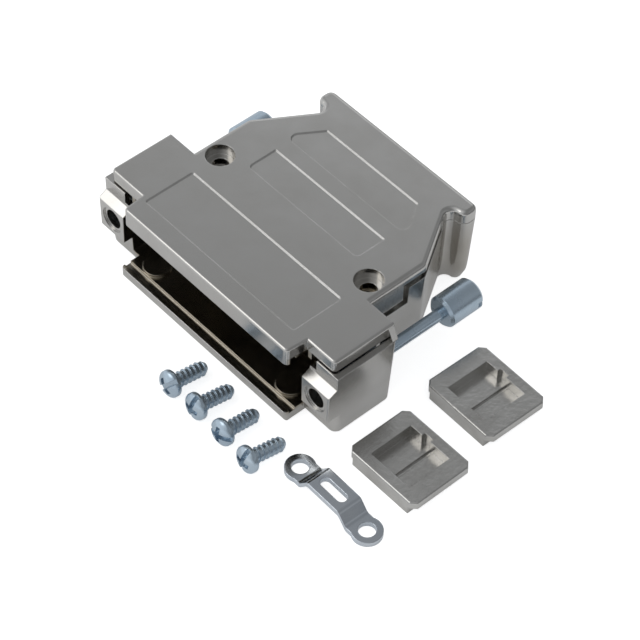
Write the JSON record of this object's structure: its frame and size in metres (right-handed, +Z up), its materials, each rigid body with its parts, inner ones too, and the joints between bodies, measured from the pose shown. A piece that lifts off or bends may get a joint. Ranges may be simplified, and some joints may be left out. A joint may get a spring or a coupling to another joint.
{
  "type": "d-sub hood",
  "caption": "Die-cast metal hood for a 25-way D-sub connector: two closed shells, captive jackscrews, and its loose screws, cable clamp and exit inserts laid beside it.",
  "frame": {"origin": "middle of the hood's width on its underside, at the floor of the ring recesses round the jackscrew ports", "axes": "+X along the row of the two jackscrews, +Y from the connector's end to the cable's end, +Z up from the underside of the lower shell to the upper shell"},
  "size_m": [0.0715, 0.0524, 0.0162],
  "materials": {
    "shell_metal": "satin nickel plate on a die casting",
    "insert_metal": "satin nickel plate on a die casting",
    "zinc_steel": "bright blue zinc plate",
    "clamp_steel": "bright plate on a stamped strap"
  },
  "bodies": {
    "hood": {"bottom_shell": "shell_metal", "top_shell": "shell_metal", "case_screw_1": "zinc_steel", "case_screw_2": "zinc_steel", "clamp_screw_1": "zinc_steel", "clamp_screw_2": "zinc_steel", "cable_clamp": "clamp_steel", "exit_insert_1": "insert_metal", "exit_insert_2": "insert_metal"},
    "jackscrew_left": {"jackscrew_left": "zinc_steel"},
    "jackscrew_right": {"jackscrew_right": "zinc_steel"}
  },
  "joints": [
    {"name": "jackscrew_left_slide", "type": "slide", "parent": "hood", "child": "jackscrew_left", "axis": [0, -1, 0], "range_m": [0, 0.0117]},
    {"name": "jackscrew_right_slide", "type": "slide", "parent": "hood", "child": "jackscrew_right", "axis": [0, -1, 0], "range_m": [0, 0.0117]}
  ]
}
